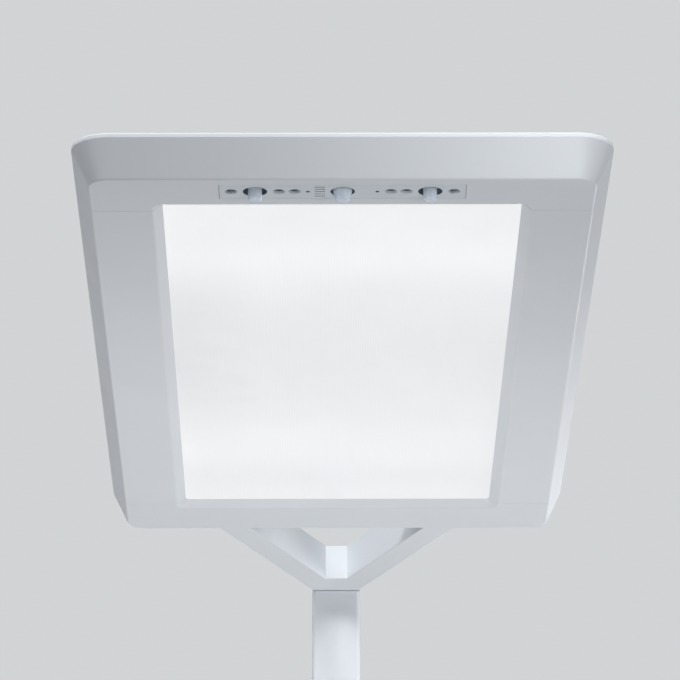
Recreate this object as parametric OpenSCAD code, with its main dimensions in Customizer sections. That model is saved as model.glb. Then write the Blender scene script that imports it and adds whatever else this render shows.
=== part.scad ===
// Office floor lamp: a long flat head on a forked bracket, a slim pole and a floor plate.
// Millimetres, +Z up. The origin is on the floor under the pole's axis, and the head
// reaches out from the pole towards -Y.

/* [Head] */
// Height of the head's underside above the floor
head_z = 1940; // [1700:10:2100]
// Width of the head over its rim
head_w = 300; // [296:1:330]
// Length of the head over its rim
head_l = 642; // [560:1:720]
// How far the skirt slopes outwards from the underside to the rim
skirt_run = 10; // [8:0.5:12]
// Height of the sloping skirt
skirt_rise = 21.4; // [20.6:0.1:24]
// Height of the upright rim above the skirt
rim_h = 2.8; // [2.5:0.1:4]
// Corner radius of the underside
corner_r = 11.5; // [9:0.5:18]
// Wall of the skirt, measured level
skirt_wall = 2.4; // [2:0.1:3]
// Thickness of the underside's metal
floor_t = 2.24; // [2:0.02:2.6]

/* [Light opening] */
// Width of the opening at the underside
opening_w = 212; // [190:1:214]
// Underside left in front of the opening
front_margin = 36.2; // [36:0.1:44]
// Underside left behind the opening
back_margin = 42.5; // [38:0.1:60]
// Width of the bevel round the opening
bevel_run = 5.6; // [3:0.1:6]
// Height of the lip round the opening, which carries the diffuser
lip_h = 5; // [3:0.25:5.5]
// Corner radius of the opening at the underside
opening_r = 8; // [7:0.5:9]
// From the opening's end to the joint between frame and rail
joint_past = 10.1; // [9.5:0.1:20]
// Open joint between the frames and the rails
joint_gap = 0.3; // [0.1:0.05:0.6]

/* [Optics] */
// Thickness of the diffuser
diffuser_t = 2; // [1.5:0.1:2.5]
// Thickness of the light guide
guide_t = 4; // [3:0.5:4]
// Thickness of the reflector sheet
reflector_t = 0.5; // [0.3:0.1:0.8]
// Thickness of the carrier plate
carrier_t = 1.5; // [1:0.1:2]
// Width of the rib in the rail that carries the plate
rib_w = 6; // [5:0.5:6]
// Thickness of the edge-light circuit strips
strip_pcb = 1; // [0.6:0.1:1.2]
// Height of a light-emitting package above its board
led_h = 0.8; // [0.5:0.1:1]
// Pitch of the packages along the edge strips
led_pitch = 22; // [18:1:40]
// Width of each uplight board
up_board_w = 60; // [40:1:70]
// Length of each uplight board
up_board_l = 440; // [380:5:460]
// Thickness of the circuit boards
board_t = 1.6; // [1:0.1:2]

/* [Top cover] */
// Thickness of the top cover
cover_t = 2; // [1.5:0.1:2.2]
// Thickness of the rim's lip round the cover
lip_t = 1.6; // [1.2:0.1:2]
// Width of the shelf under the cover's edge
shelf_w = 7; // [6.5:0.1:8]
// Thickness of that shelf
shelf_t = 1.8; // [1.5:0.1:2.5]
// Width of the uplight window
window_w = 220; // [190:1:224]
// Length of the uplight window
window_l = 460; // [400:1:470]
// Thickness of the window pane
pane_t = 2; // [1.5:0.1:3]
// How far the pane reaches under the cover
pane_lap = 5; // [3:0.5:8]

/* [Fork] */
// From the underside's back edge to the pole's front face
neck_reach = 141.2; // [110:1:180]
// Half the width over the arms at the underside's back edge
arm_outer = 78.8; // [60:0.5:95]
// Width of an arm there, measured across the lamp
arm_w = 20.6; // [18:0.2:26]
// Width of the crotch between the arms
crotch_w = 14.6; // [12:0.2:18]
// From the crotch to the pole's front face
crotch_back = 26.2; // [20:0.5:40]
// Wall of the fork round its cable channel
fork_wall = 4; // [3:0.25:4.5]
// Floor of the cable channel above the underside
channel_z = 8; // [5:0.5:9]
// Length of the plug that enters the pole
plug_h = 60; // [50:5:90]

/* [Pole] */
// Width of the pole
pole_w = 33.5; // [32:0.5:44]
// Depth of the pole
pole_d = 60; // [56:1:75]
// Wall of the pole
pole_t = 2.5; // [2:0.1:3]
// Outer corner radius of the pole
pole_r = 3; // [1:0.25:4]
// Height of the middle of the control panel
panel_z = 1150; // [1000:10:1250]

/* [Base] */
// Width of the floor plate
base_w = 300; // [260:5:360]
// Length of the floor plate
base_l = 480; // [420:5:560]
// Thickness of the floor plate
base_t = 10; // [8:0.5:14]
// Corner radius of the floor plate
base_r = 21.5; // [12:0.5:40]
// From the plate's back edge to the pole's axis
base_back = 75; // [60:1:120]
// Chamfer round the plate's top
base_chamfer = 1.5; // [0.5:0.25:3]
// Thickness of the rubber pad under the plate
pad_t = 2; // [1:0.5:4]
// How far the pad stays inside the plate's edge
pad_inset = 6; // [4:1:15]
// Height of the block that fills the pole's foot
foot_h = 70; // [60:5:90]

/* [Cable entry] */
// Height of the cable gland above the foot block
gland_up = 30; // [25:1:60]
// Bore of the gland for the mains lead
gland_bore = 8; // [6:0.5:9]
// Radius of the gland's threaded shank
shank_r = 8; // [7.5:0.1:9]

/* [Driver] */
// Width of the driver
driver_w = 22; // [18:0.5:24]
// Depth of the driver
driver_d = 30; // [24:1:34]
// Length of the driver
driver_l = 300; // [240:10:360]
// Height of the driver's lower end above the floor
driver_z = 420; // [300:10:500]
// Diameter of the output lead
output_d = 5; // [4:0.5:5]
// Diameter of the signal lead
signal_d = 4; // [3:0.5:4.5]

/* [Controls] */
// Width of the control panel
panel_w = 22; // [20:0.5:23]
// Height of the control panel
panel_h = 96; // [90:1:120]
// Diameter of a key
key_d = 13.5; // [11:0.5:14]
// Distance from key to key
key_pitch = 26; // [20:1:28]
// How far a key stands out of the panel
key_proud = 1; // [0.4:0.1:1.5]
// Travel of a key
key_travel = 1; // [0.5:0.1:1.2]

/* [Sensor strip] */
// Length of the sensor strip
strip_l = 136.8; // [134:0.2:150]
// Width of the sensor strip
strip_w = 20.6; // [19:0.2:22]
// From the underside's front edge to the strip's middle line
strip_y = 17.5; // [15:0.5:19]
// Distance of the outer presence lenses from the middle
presence_x = 48.4; // [46:0.2:52]
// Diameter of a lens well
well_d = 13.5; // [12:0.25:15]
// Diameter of the outer presence lenses
lens_d = 7.7; // [6:0.1:8.5]
// Diameter of the middle presence lens at its tip
mid_lens_d = 8.2; // [7:0.1:9]
// Diameter of the middle presence lens where it leaves the strip
mid_lens_top_d = 10.4; // [9.2:0.1:11]
// How far the lenses hang below the underside
lens_drop = 5.6; // [3:0.1:8]
// Distance of the inner light sensors from the middle
eye_inner = 26.6; // [26:0.1:27.5]
// Distance of the second light sensors from the middle
eye_second = 35.3; // [34.5:0.1:36.2]
// Distance of the outer light sensors from the middle
eye_outer = 61.7; // [61:0.1:62.5]
// Diameter of a light sensor's cup
cup_d = 7; // [5:0.25:7.5]
// Distance of the status lights from the middle
status_x = 19.2; // [18:0.2:20]
// Diameter of a status light
status_d = 2; // [1.4:0.1:2.4]
// Number of louvre slots
slot_n = 5; // [3:1:6]
// Distance from slot to slot
slot_pitch = 3.3; // [2.5:0.1:3.4]
// Width of a louvre slot
slot_w = 1.2; // [0.8:0.1:1.5]
// Length of a louvre slot
slot_l = 5.7; // [4:0.1:6]
// Distance of the louvre's middle from the lamp's middle
slot_x = 12.6; // [12:0.1:13.5]

/* [Fits] */
// Gap round pieces that lie in a recess
lay_gap = 0.2; // [0.1:0.05:0.4]
// Gap between a screw and its hole's wall
screw_gap = 0.1; // [0.05:0.05:0.2]
// Gap round a key in the panel
key_gap = 0.25; // [0.15:0.05:0.4]

/* [Hidden] */
$fn = 48;
e = 0.05;

// Head: levels above the underside, and places from the middle of the underside
flat_w = head_w - 2 * skirt_run;
flat_l = head_l - 2 * skirt_run;
top_z = skirt_rise + rim_h;
seat_z = top_z - cover_t;
shelf_z = seat_z - shelf_t;
slope = skirt_run / skirt_rise;
open_y0 = front_margin - flat_l / 2;
open_y1 = flat_l / 2 - back_margin;
open_l = open_y1 - open_y0;
joint_y0 = open_y0 + joint_past;
joint_y1 = open_y1 - joint_past;
head_y = -pole_d / 2 - neck_reach - flat_l / 2;
guide_z = lip_h + diffuser_t;
reflector_z = guide_z + guide_t;
carrier_z = reflector_z + reflector_t;
board_z = carrier_z + carrier_t;
rib_in = 3;
rib_x = opening_w / 2 + rib_in;
lip_x = rib_x + rib_w + 1;
stop_w = 2;
stop_lap = 4;
stop_y0 = open_y0 - stop_lap - lay_gap - stop_w;
stop_y1 = open_y1 + stop_lap + lay_gap + stop_w;
pane_z = seat_z - pane_t;
terminal_y = flat_l / 2 - back_margin / 2;

// Screws of the head
port_r = 1.5;
port_wall = 1.5;
port_up = 2.4;
port_top = 15;
port_skin = 2.8;
port_low_z = floor_t + port_up;
port_low = [(rib_x + rib_w + flat_w / 2 + slope * port_low_z - skirt_wall) / 2, port_low_z];
port_high = [flat_w / 2 + slope * port_top - skirt_wall - port_skin, port_top];
port_head_r = 2.3;
bulkhead_t = 3;
rail_screw_l = 12;
cover_screw_r = 1.5;
cover_head_r = 2.8;
cover_head_h = 1.5;
cover_edge = 0.6;
cover_in = lip_t + lay_gap + cover_head_r + cover_edge;
cover_screw_y = 0.62 * head_l / 2 * [-1, 0, 1];
cover_screw_x = 0.73 * head_w / 2;
carrier_screw_y = 0.8 * open_l / 2 * [-1, 0, 1];
carrier_screw_l = 5;

// Fork and neck
arm_inner = arm_outer - arm_w;
ledge_w = 1.4;
neck_solid = 22;
lead_bore_r = 8.5;
fork_screw_x = 8;
fork_screw_l = 10;
wall_screw_r = 2.5;
wall_screw_l = 12;

// Pole and base
pole_in_w = pole_w - 2 * pole_t;
pole_in_d = pole_d - 2 * pole_t;
pole_z = pad_t + base_t;
pole_l = head_z - pole_z;
bolt_y = 12;
bolt_r = 4;
bolt_head_r = 8;
bolt_l = 40;
gland_z = pole_z + foot_h + gland_up;
gland_out = 16;
gland_hex_h = 5;
gland_hex = 3.2;
cap_wall = 2.2;
cap_h = 7;
cap_cone_h = 6;
shank_l = 11;
nut_t = 4;
wall_y = pole_d / 2;

// Terminals
terminal_up = 40;
terminal_z = gland_z + terminal_up;
terminal_w = 20;
terminal_h = 30;
terminal_pitch = 6;
terminal_screw_r = 2.2;
head_terminal_l = 14;
head_terminal_h = 10;

// Control panel: depths are measured from the pole's front face inwards
flange_t = 1.5;
key_flange_r = key_d / 2 + 1.4;
key_flange_t = 1;
flange_d = pole_t + flange_t + 0.3;
stem_r = 1.6;
switch_d = flange_d + key_flange_t + key_travel + 1.2;
switch_h = 3.5;
switch_w = 6;
key_board_d = switch_d + switch_h;
post_in = 7;
post_z = panel_h / 2 - post_in;
post_r = 3;
panel_screw_r = 1.1;
panel_screw_l = 6;
face_y = -pole_d / 2;

// Driver and leads
driver_gap = 4;
stub_h = 3;
clip_h = 12;
clip_bore_r = 4;
lead_bend = 15;
lead_sides = 10;
lead_gap = 0.3;
lead_off = 6;
lead_out = 15;
lead_cross = 50;

// Sensor strip
eye_x = [eye_inner, eye_second, eye_outer];
eye_bore = 3.6;
cup_h = 4;
eye_d = 2;
eye_low = 2.5;
lens_flange = 1.5;
lens_flange_h = 2;
can_h = 5;
can_rim_h = 0.6;
board_screw_r = 1;
board_screw_l = 5;
strip_flange = 1.8;
strip_flange_t = 1.6;
sensor_z = 8;
collar_t = 1.2;
tip_r = 1.7;
mid_well_depth = 2;
lens_t = 0.8;
lens_floor = 1.6;
core_d = 3;
core_gap = 1.5;
boss_x = 31;
boss_y = 7;
boss_r = 2.2;
strip_mid = strip_y - flat_l / 2;
plug_x = strip_l / 4;
plug_w = 10;
plug_l = 6;

// ---- shapes used by several pieces ----

// Plan of a rectangle with round corners
module round_plan(w, l, r) {
  square([w - 2 * r, l], center = true);
  square([w, l - 2 * r], center = true);
  for (i = [-1, 1], j = [-1, 1])
    translate([i * (w / 2 - r), j * (l / 2 - r)]) circle(r);
}

module round_plate(w, l, r, h) {
  linear_extrude(h) round_plan(w, l, r);
}

// Rectangle with round corners that grows by run on every side over its height
module flare(w, l, r, run, rise) {
  x = w / 2 - r;
  y = l / 2 - r;
  for (i = [-1, 1], j = [-1, 1])
    translate([i * x, j * y, 0]) cylinder(h = rise, r1 = r, r2 = r + run);
  translate([0, y, 0]) rotate([90, 0, 0]) linear_extrude(2 * y)
    polygon([[-w / 2, 0], [w / 2, 0], [w / 2 + run, rise], [-w / 2 - run, rise]]);
  translate([-x, 0, 0]) rotate([90, 0, 90]) linear_extrude(2 * x)
    polygon([[-l / 2, 0], [l / 2, 0], [l / 2 + run, rise], [-l / 2 - run, rise]]);
}

// A profile drawn in X and Z, drawn out from y0 to y1
module along_y(y0, y1) {
  translate([0, y1, 0]) rotate([90, 0, 0]) linear_extrude(y1 - y0) children();
}

module block(x0, x1, y0, y1, z0, z1) {
  translate([x0, y0, z0]) cube([x1 - x0, y1 - y0, z1 - z0]);
}

module both_sides() {
  children();
  mirror([1, 0, 0]) children();
}

// Pan-head screw that points down from the top of its head's seat
module pan_screw(r, l, head_r, head_h) {
  translate([0, 0, -l]) cylinder(h = l + e, r = r);
  difference() {
    cylinder(h = head_h, r1 = head_r, r2 = head_r * 0.8);
    translate([0, 0, head_h * 0.5]) cylinder(h = head_h, r = head_r * 0.35, $fn = 6);
  }
}

// Countersunk screw that points down from its flush face
module flat_screw(r, l, head_r, head_h) {
  difference() {
    union() {
      translate([0, 0, -l]) cylinder(h = l - head_h + e, r = r);
      translate([0, 0, -head_h]) cylinder(h = head_h, r1 = r, r2 = head_r);
    }
    translate([0, 0, -head_h * 0.6]) cylinder(h = head_h, r = head_r * 0.4, $fn = 6);
  }
}

// Hole for that screw, wider by a gap
module flat_hole(r, l, head_r, head_h, gap) {
  translate([0, 0, -l]) cylinder(h = l + 1, r = r + gap);
  translate([0, 0, -head_h - gap]) cylinder(h = head_h + gap, r1 = r + gap, r2 = head_r + gap);
  cylinder(h = 1, r = head_r + gap);
}

function unit(v) = v / norm(v);

// The route with each of its corners rounded off
function rounded(p) = concat(
  [p[0]],
  [for (i = [1 : len(p) - 2])
    let (a = p[i - 1] - p[i], c = p[i + 1] - p[i],
      q = min(lead_bend, norm(a) * 0.45, norm(c) * 0.45))
    for (u = [0, 0.5, 1])
      p[i] + unit(a) * q * (1 - u) * (1 - u) + unit(c) * q * u * u],
  [p[len(p) - 1]]);

// Direction of the route at each of its points
function tangents(p) = [for (i = [0 : len(p) - 1])
  let (j = max(i, 1), k = min(i, len(p) - 2))
  unit(unit(p[j] - p[j - 1]) + unit(p[k + 1] - p[k]))];

// A vector square to the route, carried along it without a twist
function normals(t) = [for (i = 0, n = unit(cross(t[0], [0, 1, 0.3]));
  i < len(t);
  i = i + 1, n = i < len(t) ? unit(n - (n * t[i]) * t[i]) : n) n];

// Round lead swept along a route
module lead(route, d) {
  p = rounded(route);
  t = tangents(p);
  n = normals(t);
  s = lead_sides;
  last = (len(p) - 1) * s;
  points = [for (i = [0 : len(p) - 1], k = [0 : s - 1])
    p[i] + (n[i] * cos(k * 360 / s) + cross(t[i], n[i]) * sin(k * 360 / s)) * d / 2];
  walls = [for (i = [0 : len(p) - 2], k = [0 : s - 1], half = [0, 1])
    let (a = i * s + k, b = i * s + (k + 1) % s)
    half == 0 ? [a, a + s, b] : [b, a + s, b + s]];
  caps = [for (k = [1 : s - 2], end = [0, 1])
    end == 0 ? [0, k, k + 1] : [last, last + k + 1, last + k]];
  polyhedron(points, concat(walls, caps));
}

module at_head() {
  translate([0, head_y, head_z]) children();
}

// ---- head shell ----

// Outer form of the head, closed all round
module tray_outer() {
  flare(flat_w, flat_l, corner_r, skirt_run, skirt_rise);
  translate([0, 0, skirt_rise])
    round_plate(head_w, head_l, corner_r + skirt_run, rim_h);
}

// Everything inside the skirt, up to the shelf, the cover's recess and above
module tray_inner() {
  grow = slope * floor_t - skirt_wall;
  translate([0, 0, floor_t]) flare(flat_w + 2 * grow, flat_l + 2 * grow, corner_r + grow,
    slope * (shelf_z - floor_t), shelf_z - floor_t);
  shelf_in = lip_t + shelf_w;
  translate([0, 0, shelf_z - e]) round_plate(head_w - 2 * shelf_in, head_l - 2 * shelf_in,
    corner_r + skirt_run - shelf_in, shelf_t + 2 * e);
  translate([0, 0, seat_z]) round_plate(head_w - 2 * lip_t, head_l - 2 * lip_t,
    corner_r + skirt_run - lip_t, cover_t + 1);
}

// The light opening, cut through the underside with its bevel
module opening_cut() {
  grow = bevel_run / lip_h * e;
  translate([0, (open_y0 + open_y1) / 2, -e])
    flare(opening_w + 2 * grow, open_l + 2 * grow, opening_r + grow,
      -bevel_run - 2 * grow, lip_h + 2 * e);
}

module front_half() {
  block(-head_w, head_w, -head_l, joint_y0 - joint_gap / 2, -head_l, head_l);
}

module rear_half() {
  block(-head_w, head_w, joint_y1 + joint_gap / 2, head_l, -head_l, head_l);
}

// Cross wall in a frame, against the end of each rail
module bulkheads(y0) {
  intersection() {
    translate([0, 0, e]) tray_outer();
    both_sides()
      block(lip_x, head_w, y0, y0 + bulkhead_t, floor_t / 2, seat_z - e);
  }
}

// Rib that stops the diffuser's end and carries the end of the plate
module end_stop(y0) {
  block(-rib_x, rib_x, y0, y0 + stop_w, floor_t / 2, carrier_z);
}

// Lip round the opening's end, between the end stop and the joint
module end_lip(y0, y1) {
  block(-lip_x, lip_x, y0, y1, floor_t / 2, lip_h);
}

// Holes for the rail screws, through both cross walls
module rail_screw_holes(y, r) {
  both_sides() for (p = [port_low, port_high])
    translate([p[0], y, p[1]]) rotate([90, 0, 0])
      cylinder(h = 4 * bulkhead_t, r = r, center = true);
}

module cover_screw_places() {
  both_sides() {
    for (y = cover_screw_y)
      translate([head_w / 2 - cover_in, y, top_z]) children();
    for (s = [-1, 1])
      translate([cover_screw_x, s * (head_l / 2 - cover_in), top_z]) children();
  }
}

module cover_screw_holes() {
  cover_screw_places()
    translate([0, 0, -cover_t - shelf_t - 1])
      cylinder(h = shelf_t + 2, r = cover_screw_r + screw_gap);
}

module front_frame() {
  color("gainsboro") at_head() difference() {
    union() {
      intersection() {
        difference() {
          tray_outer();
          tray_inner();
        }
        front_half();
      }
      bulkheads(joint_y0 - joint_gap / 2 - bulkhead_t);
      end_stop(stop_y0);
      end_lip(stop_y0, joint_y0 - joint_gap / 2);
    }
    opening_cut();
    rail_screw_holes(joint_y0, port_r + 2 * screw_gap);
    cover_screw_holes();
    translate([0, strip_mid, floor_t / 2])
      cube([strip_l, strip_w, floor_t * 2], center = true);
  }
}

// ---- rear frame with the fork ----

function arm_out(t) = arm_outer + (pole_w / 2 - arm_outer) * t / neck_reach;
function arm_in(t) =
  arm_inner + (crotch_w / 2 - arm_inner) * t / (neck_reach - crotch_back);
function arm_mid(t) = (arm_out(t) + arm_in(t)) / 2;

// Plan of the fork from t0 to t1, where t runs back from the underside's back edge
module fork_plan(t0, t1) {
  crotch = neck_reach - crotch_back;
  translate([0, flat_l / 2]) polygon([
    [arm_out(t0), t0], [pole_w / 2, neck_reach], [pole_w / 2, t1],
    [-pole_w / 2, t1], [-pole_w / 2, neck_reach], [-arm_out(t0), t0],
    [-arm_in(t0), t0], [-crotch_w / 2, crotch], [crotch_w / 2, crotch],
    [arm_in(t0), t0]
  ]);
}

// Places from the pole's axis, seen from the head's middle
module at_neck() {
  translate([0, -head_y, 0]) children();
}

module fork_solid() {
  linear_extrude(top_z) fork_plan(-floor_t / 4, neck_reach + pole_r + 1);
  at_neck() linear_extrude(top_z) round_plan(pole_w, pole_d, pole_r);
  at_neck() translate([0, 0, -plug_h]) linear_extrude(plug_h + 1)
    square([pole_in_w - 2 * lay_gap, pole_in_d - 2 * lay_gap], center = true);
}

// Channel for the leads, open to the head's inside and down into the pole
module fork_channel() {
  channel_end = neck_reach + pole_d - neck_solid;
  translate([0, 0, channel_z]) linear_extrude(seat_z - channel_z + e)
    offset(delta = -fork_wall) fork_plan(-neck_solid, channel_end + fork_wall);
  at_neck() translate([0, 0, -plug_h - 1])
    cylinder(h = plug_h + channel_z + 2, r = lead_bore_r);
}

module fork_lid(gap) {
  intersection() {
    linear_extrude(cover_t) offset(delta = -ledge_w - gap)
      fork_plan(-neck_solid, neck_reach + pole_d);
    block(-head_w, head_w, flat_l / 2 + skirt_run + lip_t / 4 + gap, head_l, -1, cover_t + 1);
  }
}

module fork_screw_places() {
  both_sides() translate([fork_screw_x, flat_l / 2 + neck_reach + pole_d - neck_solid / 2, top_z])
    children();
}

// Ribs inside the shell that take the load of each arm
module arm_ribs() {
  both_sides() for (x = [arm_inner - stop_w, arm_outer])
    block(x, x + stop_w, stop_y1 + lay_gap, flat_l / 2 - 1,
      floor_t / 2, shelf_z - 2);
}

module neck_screw_places() {
  for (z = [plug_h / 3, plug_h * 3 / 4])
    translate([0, wall_y, head_z - z]) rotate([-90, 0, 0]) children();
}

module rear_frame() {
  color("gainsboro") difference() {
    at_head() difference() {
      union() {
        intersection() {
          tray_outer();
          rear_half();
        }
        fork_solid();
      }
      tray_inner();
      opening_cut();
      fork_channel();
      translate([0, 0, seat_z]) fork_lid(0);
      fork_screw_places() translate([0, 0, -fork_screw_l - 1])
        cylinder(h = fork_screw_l, r = cover_screw_r + screw_gap);
      cover_screw_holes();
    }
    neck_screw_places() translate([0, 0, -wall_screw_l - 2])
      cylinder(h = wall_screw_l + 2, r = wall_screw_r + screw_gap);
  }
  color("gainsboro") at_head() difference() {
    union() {
      bulkheads(joint_y1 + joint_gap / 2);
      end_stop(stop_y1 - stop_w);
      end_lip(joint_y1 + joint_gap / 2, stop_y1);
      arm_ribs();
    }
    opening_cut();
    rail_screw_holes(joint_y1, port_r + 2 * screw_gap);
  }
}

module neck_screws() {
  color("silver") neck_screw_places()
    flat_screw(wall_screw_r, wall_screw_l, wall_screw_r * 2, pole_t);
}

module fork_cover() {
  color("gainsboro") at_head() difference() {
    translate([0, 0, seat_z]) fork_lid(lay_gap);
    fork_screw_places()
      flat_hole(cover_screw_r, fork_screw_l, cover_head_r, cover_head_h, screw_gap);
  }
}

module fork_cover_screws() {
  color("silver") at_head() fork_screw_places()
    flat_screw(cover_screw_r, fork_screw_l, cover_head_r, cover_head_h);
}

// ---- side rails ----

// Section of the right-hand rail
module rail_section() {
  inner_low = flat_w / 2 + slope * floor_t - skirt_wall;
  inner_high = flat_w / 2 + slope * shelf_z - skirt_wall;
  shelf_x = head_w / 2 - lip_t - shelf_w;
  difference() {
    union() {
      polygon([
        [opening_w / 2, 0], [flat_w / 2, 0], [head_w / 2, skirt_rise],
        [head_w / 2, top_z], [head_w / 2 - lip_t, top_z], [head_w / 2 - lip_t, seat_z],
        [shelf_x, seat_z], [shelf_x, shelf_z], [inner_high, shelf_z],
        [inner_low, floor_t], [rib_x + rib_w, floor_t], [rib_x + rib_w, lip_h],
        [opening_w / 2 - bevel_run, lip_h]
      ]);
      translate([rib_x, floor_t / 2]) square([rib_w, carrier_z - floor_t / 2]);
      for (p = [port_low, port_high]) translate(p) circle(port_r + port_wall);
    }
    for (p = [port_low, port_high]) translate(p) circle(port_r);
  }
}

module side_rail() {
  at_head() difference() {
    along_y(joint_y0 + joint_gap / 2, joint_y1 - joint_gap / 2) rail_section();
    cover_screw_holes();
    for (y = carrier_screw_y)
      translate([rib_x + rib_w / 2, y, carrier_z - carrier_screw_l])
        cylinder(h = carrier_screw_l + 1, r = cover_screw_r + screw_gap);
  }
}

module side_rail_right() {
  color("whitesmoke") side_rail();
}

module side_rail_left() {
  color("whitesmoke") mirror([1, 0, 0]) side_rail();
}

module rail_screws() {
  color("silver") at_head() both_sides() for (p = [port_low, port_high]) {
    translate([p[0], joint_y0 - joint_gap / 2 - bulkhead_t, p[1]]) rotate([90, 0, 0])
      pan_screw(port_r - screw_gap / 2, rail_screw_l, port_head_r, port_r);
    translate([p[0], joint_y1 + joint_gap / 2 + bulkhead_t, p[1]]) rotate([-90, 0, 0])
      pan_screw(port_r - screw_gap / 2, rail_screw_l, port_head_r, port_r);
  }
}

// ---- optics ----

// Flat sheet that lies over the opening, inside the ribs and the end stops
module stack_sheet(half_w, z, t) {
  block(-half_w, half_w, open_y0 - stop_lap, open_y1 + stop_lap, z, z + t);
}

module diffuser() {
  color("white") at_head() stack_sheet(rib_x - lay_gap, lip_h, diffuser_t);
}

module light_guide() {
  color("lightcyan") at_head()
    stack_sheet(rib_x - strip_pcb - led_h - 2 * lay_gap, guide_z, guide_t);
}

module reflector_sheet() {
  color("white") at_head()
    stack_sheet(rib_x - strip_pcb - led_h - 2 * lay_gap, reflector_z, reflector_t);
}

module carrier_plate() {
  half_w = rib_x + rib_w + 0.5;
  color("silver") at_head() difference() {
    block(-half_w, half_w, open_y0 - stop_lap - stop_w, open_y1 + stop_lap + stop_w,
      carrier_z, board_z);
    both_sides() for (y = carrier_screw_y)
      translate([rib_x + rib_w / 2, y, carrier_z - 1])
        cylinder(h = carrier_t + 2, r = cover_screw_r + 2 * screw_gap);
  }
}

module carrier_screws() {
  color("silver") at_head() both_sides() for (y = carrier_screw_y)
    translate([rib_x + rib_w / 2, y, board_z])
      pan_screw(cover_screw_r, carrier_t + carrier_screw_l - 1, cover_head_r, cover_head_h);
}

// Edge-light strip on the inner face of the right-hand rib
module led_strip() {
  half_l = (joint_y1 - joint_y0) / 2 - joint_gap;
  count = floor(2 * half_l / led_pitch);
  at_head() translate([0, (joint_y0 + joint_y1) / 2, 0]) {
    block(rib_x - strip_pcb, rib_x, -half_l, half_l, guide_z, carrier_z);
    for (i = [0 : count - 1])
      translate([rib_x - strip_pcb - led_h, (i - (count - 1) / 2) * led_pitch - 1.5,
        guide_z + guide_t / 2 - 1.4])
        cube([led_h + e, 3, 2.8]);
  }
}

module led_strip_right() {
  color("ivory") led_strip();
}

module led_strip_left() {
  color("ivory") mirror([1, 0, 0]) led_strip();
}

module uplight_boards() {
  color("ivory") at_head() both_sides()
    translate([window_w / 4, (joint_y0 + joint_y1) / 2, board_z]) {
      block(-up_board_w / 2, up_board_w / 2, -up_board_l / 2, up_board_l / 2, 0, board_t);
      for (x = [-1, 1], y = [-4.5 : 4.5])
        translate([x * up_board_w / 4, y * up_board_l / 10, board_t + led_h / 2])
          cube([3, 3, led_h + e], center = true);
    }
}

module head_terminal() {
  color("white") at_head()
    translate([-arm_mid(0), terminal_y, floor_t]) {
      block(-arm_w / 2 + 1, arm_w / 2 - 1, -head_terminal_l / 2, head_terminal_l / 2,
        0, head_terminal_h);
      for (i = [-1 : 1]) translate([i * terminal_pitch, 0, head_terminal_h - e])
        cylinder(h = 1.2, r = terminal_screw_r);
    }
}

// ---- top cover ----

module top_cover() {
  color("gainsboro") at_head() difference() {
    translate([0, 0, seat_z])
      round_plate(head_w - 2 * (lip_t + lay_gap), head_l - 2 * (lip_t + lay_gap),
        corner_r + skirt_run - lip_t - lay_gap, cover_t);
    translate([0, (joint_y0 + joint_y1) / 2, seat_z - 1])
      round_plate(window_w, window_l, opening_r, cover_t + 2);
    cover_screw_places()
      flat_hole(cover_screw_r, cover_t + 1, cover_head_r, cover_head_h, screw_gap);
  }
}

module top_window() {
  color("azure") at_head() translate([0, (joint_y0 + joint_y1) / 2, pane_z])
    round_plate(window_w + 2 * pane_lap, window_l + 2 * pane_lap,
      opening_r + pane_lap, pane_t);
}

module cover_screws() {
  color("silver") at_head() cover_screw_places()
    flat_screw(cover_screw_r, cover_t + shelf_t, cover_head_r, cover_head_h);
}

// ---- sensor strip ----

module at_strip() {
  at_head() translate([0, strip_mid, 0]) children();
}

module sensor_strip() {
  body_l = strip_l - 2 * lay_gap;
  body_w = strip_w - 2 * lay_gap;
  color("lightgray") at_strip() difference() {
    union() {
      translate([0, 0, floor_t / 2]) cube([body_l, body_w, floor_t], center = true);
      translate([0, 0, floor_t + strip_flange_t / 2])
        cube([strip_l + 2 * strip_flange, strip_w + 2 * strip_flange, strip_flange_t],
          center = true);
      for (x = [-presence_x, 0, presence_x])
        translate([x, 0, 0]) cylinder(h = sensor_z, d = well_d + 2 * collar_t);
      both_sides() for (x = eye_x)
        translate([x, 0, 0]) cylinder(h = sensor_z, d = cup_d + collar_t);
      both_sides() translate([status_x, 0, 0])
        cylinder(h = sensor_z, d = status_d + 2 * collar_t);
      both_sides() for (y = [-boss_y, boss_y])
        translate([boss_x, y, e]) cylinder(h = sensor_z - e, r = boss_r);
    }
    for (x = [-presence_x, presence_x])
      translate([x, 0, -e]) cylinder(h = sensor_z + 1, d = well_d);
    translate([0, 0, -e]) cylinder(h = mid_well_depth + e, d = well_d);
    translate([0, 0, -e]) cylinder(h = sensor_z + 1, d = mid_lens_top_d + 2 * lay_gap);
    translate([0, 0, sensor_z - lens_flange_h - lay_gap])
      cylinder(h = 3, r = mid_lens_top_d / 2 + lens_flange + lay_gap);
    both_sides() for (x = eye_x) translate([x, 0, 0]) {
      translate([0, 0, -e]) cylinder(h = cup_h + e, d1 = cup_d, d2 = eye_bore);
      cylinder(h = sensor_z + 1, d = eye_bore);
    }
    both_sides() translate([status_x, 0, -e])
      cylinder(h = sensor_z + 1, d = status_d + 2 * screw_gap);
    for (i = [0 : slot_n - 1])
      translate([-slot_x, (i - (slot_n - 1) / 2) * slot_pitch, 0])
        cube([slot_l, slot_w, 2 * (floor_t + strip_flange_t) + 1], center = true);
    both_sides() for (y = [-boss_y, boss_y])
      translate([boss_x, y, sensor_z + board_t - board_screw_l - lay_gap])
        cylinder(h = board_screw_l, r = board_screw_r);
  }
}

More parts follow.
